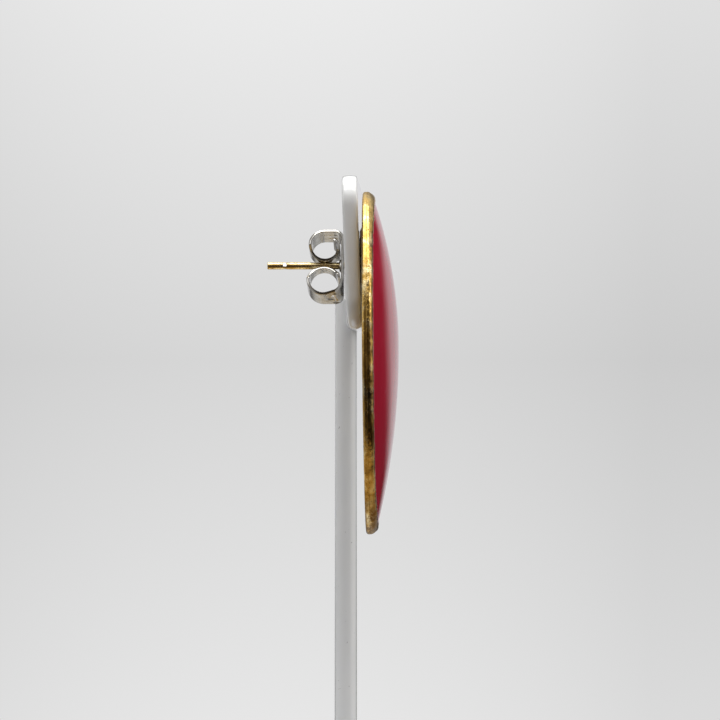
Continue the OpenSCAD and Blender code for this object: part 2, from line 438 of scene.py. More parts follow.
def makeSheet():
    # bright rolled sheet: fine rolling lines along the strip, small rubs and duller patches, with painted
    # shade darkening the marks on its lower loop
    material, tree, shader = startMaterial("brightSheet", {"Metallic": 1.0})
    tilt = (math.radians(sheetLook["tilt"]), 0, 0)
    roll = mappedNoise(tree, (0.25, 9.0, 0.25), 3.0, 0.6, turn=tilt)
    rub = mappedNoise(tree, (1.1, 1.1, 1.1), 4.0, 0.6, distortion=0.5)
    colour = addRamp(tree, rub, (
        (0.30, sheetLook["dull"]),
        (0.52, sheetLook["plain"]),
        (0.72, sheetLook["bright"]),
    ))
    # painted shade: each mark's dent is darkened where shade falls in it
    for middle, half in sheetLook["marks"]:
        far = plus(tree, farFromMark(tree, middle, half), mapRange(tree, rub, 0.3, 0.7, -0.3, 0.3))
        markShade = mapRange(tree, far, 0.75, 1.15, sheetLook["markShadeMost"], 0.0)
        colour = mixColour(tree, markShade, colour, sheetLook["markShade"])
    lines = addBump(tree, roll, 0.000012, 0.6)
    feed(tree, shader, {
        "Base Color": colour,
        "Roughness": mapRange(tree, rub, 0.3, 0.7, *sheetLook["roughness"]),
        "Normal": addBump(tree, rub, 0.000022, 0.5, lines),
    })
    return material


rimStreaks, postStreaks = (2.6, 0.28, 0.28), (0.35, 3.0, 3.0)  # streaks per millimetre
rimGilt = makeGilt("wornGilt", rimStreaks, wear=0.19, roughness=(0.11, 0.30), lumps=1.7, stained=0.8)
backGilt = makeGilt("dullGilt", rimStreaks, wear=0.20, roughness=(0.20, 0.34), lumps=0.9, stained=0.35)
postGilt = makeGilt("wornGiltWire", postStreaks, wear=0.12, roughness=(0.20, 0.36), lumps=0.4, stained=0.5)
crimsonResin = makeResin()
whiteMoulding = makePlastic()
brightSheet = makeSheet()
print("finishes made")


foot = {
    "across": 60.0, "thick": 4.0, "topEdge": 1.5, "lowEdge": 0.35,
    "socketDeep": 2.0, "socketAcross": 2.76, "socketEdge": 0.12, "sides": 128,
}


def makeFoot():
    r = foot["across"] / 2
    hole = foot["socketAcross"] / 2
    floor = foot["thick"] - foot["socketDeep"]
    profile = softPath([
        (0, 0, 0),
        (r, 0, foot["lowEdge"]),
        (r, foot["thick"], foot["topEdge"]),
        (hole, foot["thick"], foot["socketEdge"]),
        (hole, floor, 0),
        (0, floor, 0),
    ], steps=10, support=0.5)
    return skinPiece("standBase", latheRows(profile, foot["sides"]))


rod = {"across": 2.7, "low": 2.03, "high": 77.0, "endEdge": 0.25, "sides": 64}


def makeRod():
    r = rod["across"] / 2
    profile = softPath([
        (0, rod["low"], 0),
        (r, rod["low"], rod["endEdge"]),
        (r, rod["high"], rod["endEdge"]),
        (0, rod["high"], 0),
    ], steps=6, support=0.3)
    return skinPiece("standStem", latheRows(profile, rod["sides"]))


bar = {
    "long": 64.0, "thick": 1.7, "above": 9.9, "below": 7.1, "corner": 3.5,
    "middleX": 1.57, "lean": 2.0, "topEdge": 0.38, "lowEdge": 0.84, "topCrown": 2.9, "lowCrown": 2.1,
    "holeAcross": 1.2, "holeY": 26.5, "grooveAcross": 2.76, "grooveFrom": 60.0, "grooveTo": 77.06,
    # a hole's mouth from outside in: how much wider than the hole, and how deep
    "holeMouth": ((0.22, 0.0), (0.12, 0.0), (0.04, 0.03), (0.0, 0.1)),
    # steps round a corner and over an edge, and how much farther in the flat face starts
    "cornerSteps": 18, "edgeSteps": 14, "faceIn": 1.6, "holeSides": 40, "sharpFrom": 40.0,
}
barPlace = leaning((bar["middleX"], 0, postZ), -bar["lean"])


def barOutline(inset):
    # the bar's outline as (y, z), drawn smaller all round by inset, which may vary with the height
    points = []
    r = bar["corner"]
    side, top, low = bar["long"] / 2 - r, bar["above"] - r, r - bar["below"]
    for cy, cz, start in ((side, top, 0), (-side, top, 90), (-side, low, 180), (side, low, 270)):
        for s in range(bar["cornerSteps"] + 1):
            a = math.radians(start + 90 * s / bar["cornerSteps"])
            reach = r - inset(cz + r * math.sin(a))
            points.append((cy + reach * math.cos(a), cz + reach * math.sin(a)))
    return points


def towardsFoot(name, z):
    # a value that changes from the bar's upper part to its rounder lower edge
    top, low = bar["top" + name], bar["low" + name]
    return top + (low - top) * smoothStep(2, -bar["below"], z)


def makeBar():
    half = bar["thick"] / 2
    steps = bar["edgeSteps"]
    # the narrow side is slightly crowned, as a moulding is: each ring is an angle round its section
    raw = barOutline(lambda z: 0)
    points, index = [], []
    for s in range(-steps - 1, steps + 2):
        a = math.radians(90 * min(steps, abs(s)) / steps)
        scale = bar["faceIn"] if abs(s) > steps else 1.0

        def inset(z):
            return towardsFoot("Edge", z) * scale * (1 - math.cos(a) ** (2 / towardsFoot("Crown", z)))

        ring = []
        for (y, z), (_, rawZ) in zip(barOutline(inset), raw):
            ring.append((half * math.copysign(math.sin(a) ** (2 / towardsFoot("Crown", rawZ)), s), y, z))
        index.append(addRow(points, ring))
    faces = joinRows(index)
    # the two holes, with softened mouths, then both flat faces filled round them
    holes = {-1: [], 1: []}
    mouth = [(bar["holeAcross"] / 2 + wider, half - deep) for wider, deep in bar["holeMouth"]]
    for cy in (-bar["holeY"], bar["holeY"]):
        tube = []
        for r, x in [(r, -x) for r, x in mouth] + mouth[::-1]:
            ring = [(x, cy + y, z) for y, z, _ in latheRows([(r, 0)], bar["holeSides"])[0]]
            tube.append(addRow(points, ring))
        faces += joinRows(tube)
        holes[-1].append(tube[0])
        holes[1].append(tube[-1])
    for side, outer in ((-1, index[0]), (1, index[-1])):
        loops = [outer] + holes[side]
        order = [p for loop in loops for p in loop]
        for tri in tessellate_polygon([[Vector((*points[p][1:], 0)) for p in loop] for loop in loops]):
            faces.append([order[t] for t in tri])
    piece = addPiece("standBar", buildMesh("standBar", points, faces, barPlace))
    # the stem's top is let into a groove in the bar's back
    groove = toolMesh("groove", bar["grooveAcross"] / 2, bar["grooveFrom"], bar["grooveTo"], rod["sides"])
    cutWith(piece, groove)
    piece.data.set_sharp_from_angle(angle=math.radians(bar["sharpFrom"]))
    return piece


def toolMesh(name, r, low, high, sides, place=Matrix.Identity(4)):
    # a plain round cutter
    mesh = skinRows(name, latheRows([(0, low), (r, low), (r, high), (0, high)], sides), place)
    mesh.shade_flat()
    return mesh


def cutWith(piece, cutterMesh):
    # takes a tool's shape out of a piece, then leaves a plain mesh
    cutter = addPiece("cuttingTool", cutterMesh)
    cut = piece.modifiers.new("cut", "BOOLEAN")
    cut.operation = "DIFFERENCE"
    cut.solver = "EXACT"
    cut.object = cutter
    shaped = plainMesh(piece)
    piece.modifiers.remove(cut)
    old = piece.data
    piece.data = shaped
    shaped.name = old.name
    bpy.data.meshes.remove(old)
    bpy.data.objects.remove(cutter)


for makePart, node in ((makeFoot, "stand_base"), (makeRod, "stand_stem"), (makeBar, "stand_bar")):
    finishPiece(makePart(), "display", node, whiteMoulding)


oval = {"high": 38.0, "wide": 28.0, "endRadius": 10.5, "arcSteps": 64}


def ovalMiddles():
    # how far from the oval's middle its end arcs and its side arcs are centred
    endZ = oval["high"] / 2 - oval["endRadius"]
    diff = (oval["high"] - oval["wide"]) / 2
    return endZ, diff * (2 * endZ - diff) / (2 * (endZ - diff))


def ovalOutline(inset, steps=oval["arcSteps"]):
    # (y, z) points of the oval, inset inward: two ends and two flatter sides that run into each other
    endZ, sideY = ovalMiddles()
    sideRadius = oval["wide"] / 2 + sideY
    turn = math.atan(sideY / endZ)
    points = []
    for cz, cy, r, start, end in (
        (endZ, 0, oval["endRadius"], -turn, turn),
        (0, -sideY, sideRadius, turn, math.pi - turn),
        (-endZ, 0, oval["endRadius"], math.pi - turn, math.pi + turn),
        (0, sideY, sideRadius, math.pi + turn, 2 * math.pi - turn),
    ):
        for s in range(steps):
            a = start + (end - start) * s / steps
            points.append((cy + (r - inset) * math.sin(a), cz + (r - inset) * math.cos(a)))
    return points


def insetOf(y, z):
    # how far a point lies inside the oval's outline
    endZ, sideY = ovalMiddles()
    y, z = abs(y), abs(z)
    if z - endZ > y * endZ / sideY:
        return oval["endRadius"] - math.hypot(y, z - endZ)
    return oval["wide"] / 2 + sideY - math.hypot(y + sideY, z)


plate = {
    "thick": 0.5, "backEdge": 0.28, "seamEdge": 0.012, "rings": 36,
    "backInsets": (0.8, 0.6, 0.5), "frontInset": 0.3,  # rings of points on its two faces
    # unevenness: its height, the part of it that shows on the back, how fine it is, and its seed
    "wave": 0.018, "backWave": 0.4, "wavesPerMm": (0.5, 0.45, 0.45), "seed": 7,
    # a soldered pad round the post's root, thicker towards its top, where the bar leans away
    "padAcross": 8.6, "padHigh": 0.27, "padSlope": 0.0244, "padEdge": 0.4,
}


def makeBackPlate():
    t = plate["thick"]
    edge = plate["backEdge"]
    seam = plate["seamEdge"]
    rows = []

    def padHeight(y, z):
        up = z - setting["postUp"]
        r = plate["padAcross"] / 2
        part = smoothStep(r + plate["padEdge"], r - plate["padEdge"], math.hypot(y, up))
        return (plate["padHigh"] + plate["padSlope"] * up) * part

    flat = ovalOutline(plate["backInsets"][0])
    for k in range(plate["rings"]):
        part = k / plate["rings"]
        ring = [(-padHeight(part * y, part * z), part * y, part * z) for y, z in flat]
        rows.append(ring[:1] if k == 0 else ring)
    rim = [(inset, 0) for inset in plate["backInsets"]]
    for a in range(0, 91, 15):
        rim.append((edge * (1 - math.sin(math.radians(a))), edge * (1 - math.cos(math.radians(a)))))
    rim += [(0, t - seam * 3), (0, t - seam), (seam * 0.4, t - seam * 0.3), (seam * 1.4, t)]
    for inset, x in rim:
        rows.append([(x, y, z) for y, z in ovalOutline(inset)])
    for part in (1, 0.7, 0.35):
        rows.append([(t, part * y, part * z) for y, z in ovalOutline(plate["frontInset"])])
    rows.append([(t, 0, 0)])
    wavy = []
    wavesX, wavesY, wavesZ = plate["wavesPerMm"]
    for row in rows:
        line = []
        for x, y, z in row:
            at = Vector((x * wavesX, y * wavesY, z * wavesZ + plate["seed"]))
            lift = plate["wave"] * noise.noise(at)
            # the back is moved along X, and the outer part of every ring outward
            out = Vector((0, y / oval["wide"], z / oval["high"]))
            out = out.normalized() * lift * (1 if out.length > 0.4 else 0)
            line.append((x + (lift * plate["backWave"] if x < 0.05 else 0), y + out.y, z + out.z))
        wavy.append(line)
    return skinPiece("backPlate", wavy, settingPlace)


bezel = {
    "low": 0.5, "high": 1.2, "wall": 0.82, "lipRadius": 0.62,
    "lumpHeight": 0.045, "lumpsPerMm": 0.42, "dentHeight": 0.026, "dentsPerMm": 1.4,
    "lipNick": 0.05, "nicksPerMm": 1.5, "nickDeep": 0.25, "seed": 4.0, "steps": 260, "lipSteps": 20,
    # towards both ends of the oval the lip stands higher and its shoulder is pressed in over the stone
    "endRise": 0.16, "endPress": 0.22, "endStart": 11.0, "endFull": 18.0, "pressFrom": 0.45,
}


def shapeEnds(mesh):
    # mesh in the setting's own millimetres, x being the height above its back
    for v in mesh.vertices:
        x, y, z = v.co
        near = smoothStep(bezel["endStart"], bezel["endFull"], abs(z))
        up = partWay(bezel["pressFrom"], bezel["high"], x)
        outer = 1 - partWay(0, bezel["wall"], insetOf(y, z))
        raised = bezel["endRise"] * near * up ** 2 * (1 - 0.6 * outer)
        press = bezel["endPress"] * near * outer * up ** 1.5
        out = Vector((0, y, z)).normalized()
        v.co = (x + raised, y - out.y * press, z - out.z * press)


def bezelProfile():
    # the wall's cross-section as (distance outside the outline, height)
    low, high, r, wall = bezel["low"], bezel["high"], bezel["lipRadius"], bezel["wall"]
    points = [(-wall, low), (-0.05, low), (-0.015, low + 0.006), (0, low + 0.025), (0.004, low + 0.06)]
    for s in range(bezel["lipSteps"] + 1):
        a = math.radians(90 * s / bezel["lipSteps"])
        points.append((-r + r * math.cos(a), high - r + r * math.sin(a)))
    points += [(-0.67, high + 0.006), (-0.73, high + 0.002), (-0.78, high - 0.02)]
    return points + [(-0.81, high - 0.06), (-wall, high - 0.12)]


def drawCurve(name, points):
    data = bpy.data.curves.new(name, "CURVE")
    data.dimensions = "3D"
    spline = data.splines.new("POLY")
    spline.points.add(len(points) - 1)
    for target, point in zip(spline.points, points):
        target.co = (*point, 1)
    spline.use_cyclic_u = True
    return addPiece(name, data)


def bezelTree(sizes):
    # sweeps the wall's cross-section along the oval, then lumps, dents and nicks it as hand work does
    tree = bpy.data.node_groups.new("hammeredBand", "GeometryNodeTree")
    face = tree.interface
    face.new_socket(name="Geometry", in_out="OUTPUT", socket_type="NodeSocketGeometry")
    face.new_socket(name="Geometry", in_out="INPUT", socket_type="NodeSocketGeometry")
    face.new_socket(name="Cross Section", in_out="INPUT", socket_type="NodeSocketObject")
    for name in sizes:
        face.new_socket(name=name, in_out="INPUT", socket_type="NodeSocketFloat")
    face.new_socket(name="Finish", in_out="INPUT", socket_type="NodeSocketMaterial")
    given = addNode(tree, "NodeGroupInput").outputs
    section = addNode(tree, "GeometryNodeObjectInfo", {"Object": given["Cross Section"]})
    band = addNode(tree, "GeometryNodeCurveToMesh", {
        "Curve": given["Geometry"],
        "Profile Curve": section.outputs["Geometry"],
    })
    place = addNode(tree, "GeometryNodeInputPosition").outputs["Position"]
    normal = addNode(tree, "GeometryNodeInputNormal").outputs["Normal"]

    def unevenness(rate, height, detail, shift):
        grain = addNode(tree, "ShaderNodeTexNoise", {
            "Vector": place, "W": plus(tree, given["Seed"], shift), "Scale": rate, "Detail": detail,
        }, noise_dimensions="4D").outputs["Fac"]
        return times(tree, minus(tree, grain, 0.5), times(tree, height, 2.0))

    lumps = unevenness(given["Lumps Per Metre"], given["Lump Height"], 1.0, 0.0)
    dents = unevenness(given["Dents Per Metre"], given["Dent Height"], 2.0, 11.0)
    nicks = unevenness(given["Nicks Per Metre"], given["Lip Nick"], 1.0, 23.0)
    height = addNode(tree, "ShaderNodeSeparateXYZ", {"Vector": place}).outputs["Z"]
    nearCrest = mapRange(tree, height, given["Lip Start"], given["Lip Crest"])
    total = plus(tree, plus(tree, lumps, dents), times(tree, nicks, nearCrest))
    shape = band.outputs["Mesh"]
    for kind, inputs in (
        ("SetPosition", {"Offset": timesVector(tree, normal, total)}),
        ("SetShadeSmooth", {}),
        ("RealizeInstances", {}),
        ("SetMaterial", {"Material": given["Finish"]}),
    ):
        shape = addNode(tree, "GeometryNode" + kind, {"Geometry": shape, **inputs}).outputs["Geometry"]
    addNode(tree, "NodeGroupOutput", {"Geometry": shape})
    return tree


def makeBezel():
    outline = reversed(ovalOutline(0.0, bezel["steps"]))
    path = drawCurve("ovalPath", [(y * mm, z * mm, 0) for y, z in outline])
    # the sweep lays the cross-section's Y along -Z, so heights are drawn downwards
    section = drawCurve("bezelSection", [(x * mm, -h * mm, 0) for x, h in bezelProfile()])
    sizes = {
        "Lump Height": bezel["lumpHeight"] * mm,
        "Lumps Per Metre": bezel["lumpsPerMm"] / mm,
        "Dent Height": bezel["dentHeight"] * mm,
        "Dents Per Metre": bezel["dentsPerMm"] / mm,
        "Lip Nick": bezel["lipNick"] * mm,
        "Nicks Per Metre": bezel["nicksPerMm"] / mm,
        "Lip Start": (bezel["high"] - bezel["nickDeep"]) * mm,
        "Lip Crest": bezel["high"] * mm,
        "Seed": bezel["seed"],
    }
    tree = bezelTree(sizes)
    values = {"Cross Section": section, "Finish": rimGilt, **sizes}
    band = path.modifiers.new("hammeredBand", "NODES")
    band.node_group = tree
    for item in tree.interface.items_tree:
        if item.in_out == "INPUT" and item.name in values:
            band[item.identifier] = values[item.name]
    mesh = plainMesh(path)
    path.modifiers.remove(band)
    bpy.data.objects.remove(path)
    bpy.data.objects.remove(section)
    # flat (y, z, height) to the setting's own (height, y, z), then to its place
    turned = Matrix(((0, 0, 1, 0), (1, 0, 0, 0), (0, 1, 0, 0), (0, 0, 0, 1)))
    mesh.transform(Matrix.Scale(1 / mm, 4) @ turned)
    shapeEnds(mesh)
    mesh.name = "bezel"
    return addPiece("bezel", closeMesh(mesh, settingPlace))


stone = {
    "inset": 0.83, "floor": 0.53,
    "edge": 1.22, "edgeIn": 0.06, "edgeDown": 0.084,  # its softened edge: height, and reach inward and down
    "top": 3.8, "up": 2.1,  # the dome's top, and how far above the oval's middle it lies
    "rings": 56, "arcSteps": 56,
}


def makeStone():
    halfHigh = oval["high"] / 2 - stone["inset"]
    rise = stone["top"] - stone["edge"]
    r = (halfHigh ** 2 + rise ** 2) / (2 * rise)
    outline = ovalOutline(stone["inset"], stone["arcSteps"])
    shoulder = stone["edge"] - stone["edgeDown"]

    def ring(x, part, shift):
        return [(x, part * y, part * z + shift) for y, z in outline]

    def domeX(part):
        return stone["top"] - r + math.sqrt(r ** 2 - (part * halfHigh) ** 2)

    rows = [[(stone["floor"], 0, 0)], ring(stone["floor"], 0.6, 0), ring(stone["floor"], 0.985, 0)]
    rows += [ring(stone["floor"] + 0.1, 1, 0), ring(1.0, 1, 0), ring(shoulder, 1, 0)]
    shrink = stone["edgeIn"] / halfHigh
    for s in range(1, 6):
        a = math.radians(16 * s)
        part = 1 - shrink * (1 - math.cos(a)) / (1 - math.cos(math.radians(83)))
        rows.append(ring(shoulder + stone["edgeDown"] * math.sin(a), part, 0.3 * stone["up"] * (1 - part)))
    # the dome, from just inside the softened edge to its top
    start = math.degrees(math.acos(1 - 2.2 * shrink))
    for s in range(stone["rings"]):
        part = math.cos(math.radians(start + (90 - start) * s / stone["rings"]))
        rows.append(ring(domeX(part), part, stone["up"] * (1 - part)))
    rows.append([(stone["top"], 0, stone["up"])])
    return skinPiece("stone", rows, settingPlace)


wire = {
    "across": 0.78, "long": 10.7, "rootIn": 0.2, "solderAcross": 1.08, "solderHigh": 0.24,
    "notchFromTip": 1.95, "notchWide": 0.567, "notchDeep": 0.03, "tipEdge": 0.1, "uneven": 0.003, "sides": 72,
    # two flats pressed in at the notch: their length, tilt above level and distance from the axis
    "flatLong": 0.42, "flatTilt": 33.0, "flatFrom": 0.285,
}


def makePost():
    # turned about its axis, with z running from the setting's back to the tip
    r = wire["across"] / 2
    rows = [(0, -wire["rootIn"]), (r, -wire["rootIn"]), (r, 0.0)]
    flare = wire["solderAcross"] / 2 - r
    for s in range(9):
        t = s / 8
        rows.append((r + flare * (1 - math.sin(math.pi / 2 * t)) ** 1.5, 0.008 + wire["solderHigh"] * t))
    tip, edge = wire["long"], wire["tipEdge"]
    notch = tip - wire["notchFromTip"]
    for z in (0.6, 1.6, 2.6, 3.6, 4.6, 5.6, 6.6, 7.6):
        rows.append((r + wire["uneven"] * noise.noise(Vector((z, 3, 1))), z))
    half = wire["notchWide"] / 2
    for s in range(-10, 11):
        t = s / 10
        rows.append((r - wire["notchDeep"] * (1 - t * t) ** 1.2, notch + half * t))
    rows += [(r, notch + 0.8), (r, tip - edge * 1.6)]
    for s in range(1, 8):
        a = math.radians(90 * s / 7)
        rows.append((r - edge * (1 - math.cos(a)), tip - edge * (1 - math.sin(a))))
    rows += [(r * 0.5, tip), (0, tip)]
    tilt = math.radians(wire["flatTilt"])
    up, out = math.sin(tilt), math.cos(tilt)
    turned = []
    for row in latheRows(rows, wire["sides"]):
        pressed = []
        for x, y, z in row:
            far = abs(z - notch) / (wire["flatLong"] / 2)
            side = math.copysign(1, y)
            over = x * up + side * y * out - wire["flatFrom"]
            if far < 1 and over > 0:
                over *= 1 - smoothStep(0.7, 1.0, far)
                x -= over * up
                y -= side * over * out
            pressed.append((x, y, z))
        turned.append(pressed)
    return skinPiece("post", turned, postPlace)


finishPiece(makeBackPlate(), "display", "back_plate", backGilt)
finishPiece(makeBezel(), "display", "bezel")  # its tree has set its finish
finishPiece(makeStone(), "display", "stone", crimsonResin)
finishPiece(makePost(), "display", "post", postGilt)


clutch = {
    "sheet": 0.3, "faceX": 0.582, "turn": 15.0,
    # half widths of the strip and of its waist at the post, and where the waist ends
    "halfWide": 1.95, "gripHalf": 0.9, "scallopEnd": 1.9,
    # each loop's height from the post's axis, depth, and degrees of curl
    "upper": (3.65, 3.9, 304.0), "lower": (3.9, 4.1, 262.0), "corner": 0.85, "postGap": 0.28,
    "faceGap": 0.035, "tuck": 0.30, "tuckFrom": 250.0, "tuckTo": 304.0,
    # the strip: distance of its rows, points across it, and how its cut edges are rounded
    "spacing": 0.075, "across": 27,
    "outerRound": 0.27, "rollReach": 0.17, "rollPower": 1.5, "innerRound": 0.06,
    # the strip's ends: over how many rows they narrow and thin, and by how much
    "endRows": 2.5, "endNarrow": 0.07, "endThin": 0.65,
    "groove": 0.41, "drillFrom": -0.3, "drillTo": 0.62, "collarAcross": 1.5, "collarHigh": 0.25, "sides": 48,
    "sharpFrom": 50.0,
    # each mark: which loop, distance along the strip from the post, place across it, half length,
    # half width, depth
    "marks": (
        (-1, 4.75, -0.35, 0.65, 0.16, 0.035), (-1, 4.35, -1.15, 0.6, 0.15, 0.03),
        (-1, 3.75, 0.25, 0.32, 0.26, 0.08), (-1, 4.25, 0.75, 0.35, 0.2, -0.07),
        (1, 4.1, 0.6, 0.7, 0.17, 0.06), (1, 4.1, -0.6, 0.7, 0.17, 0.06),
    ),
    # the lower loop's near corner is pressed in: middle and half length along the strip, depth
    "pressed": (3.6, 1.9, 0.40),
}


def loopPath(reach, depth, curlTurn):
    # half of the strip's middle line as (u, v): u along the post from the clutch's face, v away from the post
    half = clutch["sheet"] / 2
    corner = clutch["corner"]
    top = reach - half
    curl = (top - clutch["postGap"] - half) / 2
    wide = (depth - clutch["sheet"] - clutch["faceGap"]) / 2 - half
    cornerAt = Vector((half + corner, top - corner))
    curlAt = Vector((depth - half - wide, top - curl))

    def onArc(wide, high, degrees):
        a = math.radians(degrees)
        return Vector((wide * math.cos(a), high * math.sin(a)))

    step = 0.02
    path = [Vector((half, step * i)) for i in range(1, int((top - corner) / step))]
    path += [cornerAt + corner * onArc(1, 1, a) for a in range(180, 90, -2)]
    path += [Vector((cornerAt.x + (curlAt.x - cornerAt.x) * s / 24, top)) for s in range(24)]
    # the last of the curl is tucked inward
    for turned in range(int(curlTurn)):
        size = 1 - clutch["tuck"] * partWay(clutch["tuckFrom"], clutch["tuckTo"], turned) ** 1.4
        path.append(curlAt + size * onArc(wide, curl, 90 - turned))
    return path


def evenPath(path, spacing):
    lengths = [0.0]
    for a, b in zip(path, path[1:]):
        lengths.append(lengths[-1] + (b - a).length)
    count = round(lengths[-1] / spacing)
    even, at = [], 0
    for i in range(count + 1):
        want = lengths[-1] * i / count
        while at < len(path) - 2 and lengths[at + 1] < want:
            at += 1
        part = (want - lengths[at]) / max(1e-9, lengths[at + 1] - lengths[at])
        even.append((path[at].lerp(path[at + 1], part), want))
    return even


def stripHalfWidth(u, v):
    # the strip is full width on the clutch's face, and narrows to a round waist where it grips the post
    full, grip, sheet = clutch["halfWide"], clutch["gripHalf"], clutch["sheet"]
    side = full - grip
    r = (clutch["scallopEnd"] ** 2 + side ** 2) / (2 * side)
    if u < 2 * sheet or abs(v) >= r:
        return full
    narrow = min(full, grip + r - math.sqrt(r * r - v * v))
    return full + (narrow - full) * smoothStep(2 * sheet, 3 * sheet, u)


def stripSection(halfWide, thin):
    # closed outline of the strip's section as (across, offset outward); its cut edges are rounded,
    # more on the outside, where the die has rolled them over
    half = clutch["sheet"] / 2 * thin
    big, small = clutch["outerRound"] * thin, clutch["innerRound"] * thin
    reach, power = clutch["rollReach"] * thin, clutch["rollPower"]
    n = clutch["across"]
    rolled = []
    for s in range(9):
        a = math.radians(90 * s / 8)
        out, down = math.sin(a) ** power, math.cos(a) ** power
        rolled.append((halfWide - reach + reach * out, half - big + big * down))
    points = [((halfWide - reach) * (2 * i / (n - 1) - 1), half) for i in range(n)] + rolled[1:]
    for s in range(4):
        a = math.radians(-90 * s / 3)
        points.append((halfWide - small + small * math.cos(a), -half + small + small * math.sin(a)))
    points += [((halfWide - small) * (1 - 2 * i / (n - 1)), -half) for i in range(1, n)]
    for s in range(1, 4):
        a = math.radians(-90 - 90 * s / 3)
        points.append((-halfWide + small + small * math.cos(a), -half + small + small * math.sin(a)))
    return points + [(-across, offset) for across, offset in reversed(rolled[1:])]


def clutchPoint(u, v, w):
    # strip coordinates to the world, in millimetres; w > 0 is the raised side near the viewer
    t = math.radians(clutch["turn"])
    return (
        clutch["faceX"] - u,
        postY + v * math.sin(t) - w * math.cos(t),
        postZ + v * math.cos(t) + w * math.sin(t),
    )


def makeClutch():
    halves = {}
    for side, name in ((1, "upper"), (-1, "lower")):
        even = evenPath(loopPath(*clutch[name]), clutch["spacing"])
        halves[side] = [(Vector((p.x, side * p.y)), side * s) for p, s in even]
    line = halves[-1][::-1] + halves[1]
    rows = []
    last = len(line) - 1
    for i, (p, s) in enumerate(line):
        ahead = line[min(i + 1, last)][0] - line[max(i - 1, 0)][0]
        out = Vector((-ahead.y, ahead.x)).normalized()
        halfWide = stripHalfWidth(p.x, p.y)
        # the strip's two ends are rounded over their last few rows
        fromEnd = min(1, (min(i, last - i) + 0.25) / clutch["endRows"])
        taper = math.sqrt(1 - (1 - fromEnd) ** 2)
        narrow = 1 - clutch["endNarrow"] * (1 - taper)
        row = []
        for across, offset in stripSection(halfWide * narrow, 1 - clutch["endThin"] * (1 - taper)):
            shift = 0.0
            for side, at, place, halfLong, halfAcross, deep in clutch["marks"]:
                if s * side > 0:
                    far = ((abs(s) - at) / halfLong) ** 2 + ((across - place) / halfAcross) ** 2
                    if far < 1:
                        shift -= deep * (1 - far) ** 0.8
            middle, long, deep = clutch["pressed"]
            far = (-s - middle) / long
            if abs(far) < 1:
                shift -= deep * (1 - far ** 2) ** 2 * smoothStep(-0.9, clutch["halfWide"], across)
            q = p + out * (offset + shift)
            v = q.y
            # near the post the strip is pressed into a groove that fits the post
            if q.x > 0.7 and abs(across) < clutch["groove"] and abs(p.y) < 0.9:
                outerV = abs(p.y) - clutch["sheet"] / 2
                lift = math.sqrt(clutch["groove"] ** 2 - across ** 2) - outerV
                if lift > 0:
                    v += math.copysign(lift, p.y)
            row.append(clutchPoint(q.x, v, across))
        rows.append(row)
    centres = []
    for row in (rows[0], rows[-1]):
        total = sum((Vector(p) for p in row), Vector())
        centres.append([tuple(total / len(row))])
    rows = [centres[0]] + rows + [centres[1]]
    piece = skinPiece("clutch", rows)
    # the hole for the post, then its raised collar
    axis = leaning((clutch["faceX"], postY, postZ), -90)
    r, sides, sheet = clutch["groove"], clutch["sides"], clutch["sheet"]
    cutWith(piece, toolMesh("drill", r, clutch["drillFrom"], clutch["drillTo"], sides, axis))
    outer = clutch["collarAcross"] / 2
    tall = sheet + clutch["collarHigh"]
    collar = [
        (r, 0.1), (r, tall - 0.03), (r + 0.03, tall), (r + 0.12, tall + 0.005),
        (outer - 0.16, tall - 0.02), (outer - 0.08, tall - 0.07), (outer - 0.03, tall - 0.15),
        (outer, sheet + 0.02), (outer + 0.03, sheet - 0.02), (outer, 0.1),
    ]
    ring = skinRows("collar", latheRows(collar, sides), axis, closed=True)
    bm = bmesh.new()
    bm.from_mesh(piece.data)
    bm.from_mesh(ring)
    bm.to_mesh(piece.data)
    bm.free()
    bpy.data.meshes.remove(ring)
    piece.data.shade_smooth()
    piece.data.set_sharp_from_angle(angle=math.radians(clutch["sharpFrom"]))
    return piece


finishPiece(makeClutch(), "clutch_body", "clutch", brightSheet)


table = {
    "solid": 62.0, "gone": 130.0, "rim": 136.5, "down": 0.02, "rings": 12, "sides": 96, "roughness": 0.6,
    # its colour to the camera, in reflections, and in the light that it throws up
    "seen": (0.56, 0.555, 0.55), "mirrored": (0.35, 0.262, 0.135), "thrown": (0.31, 0.318, 0.335),
}


def makeTable():
    # a pale table top that fades out, so no edge or horizon shows behind the object
    profile = [(table["rim"] * k / table["rings"], 0) for k in range(table["rings"] + 1)]
    rows = latheRows(profile, table["sides"])
    piece = skinPiece("tableTop", rows, Matrix.Translation((0, 0, -table["down"])))
    if piece.data.polygons[0].normal.z < 0:
        piece.data.flip_normals()
    material, tree, shader = startMaterial("paleTable", {
        "Roughness": table["roughness"],
        "Specular IOR Level": 0.2,
    })
    light = addNode(tree, "ShaderNodeLightPath").outputs
    colour = mixColour(tree, light["Is Glossy Ray"], table["thrown"], table["mirrored"])
    feed(tree, shader, {"Base Color": mixColour(tree, light["Is Camera Ray"], colour, table["seen"])})
    far = vectorLength(tree, objectPlace(tree))
    reach = table["solid"] * mm, table["gone"] * mm
    fade = mapRange(tree, far, *reach, interpolation_type="SMOOTHERSTEP")
    clear = addNode(tree, "ShaderNodeBsdfTransparent").outputs["BSDF"]
    both = addNode(tree, "ShaderNodeMixShader", {0: fade, 1: shader.outputs["BSDF"], 2: clear})
    tree.links.new(both.outputs["Shader"], tree.nodes["Material Output"].inputs["Surface"])
    piece.data.materials.append(material)


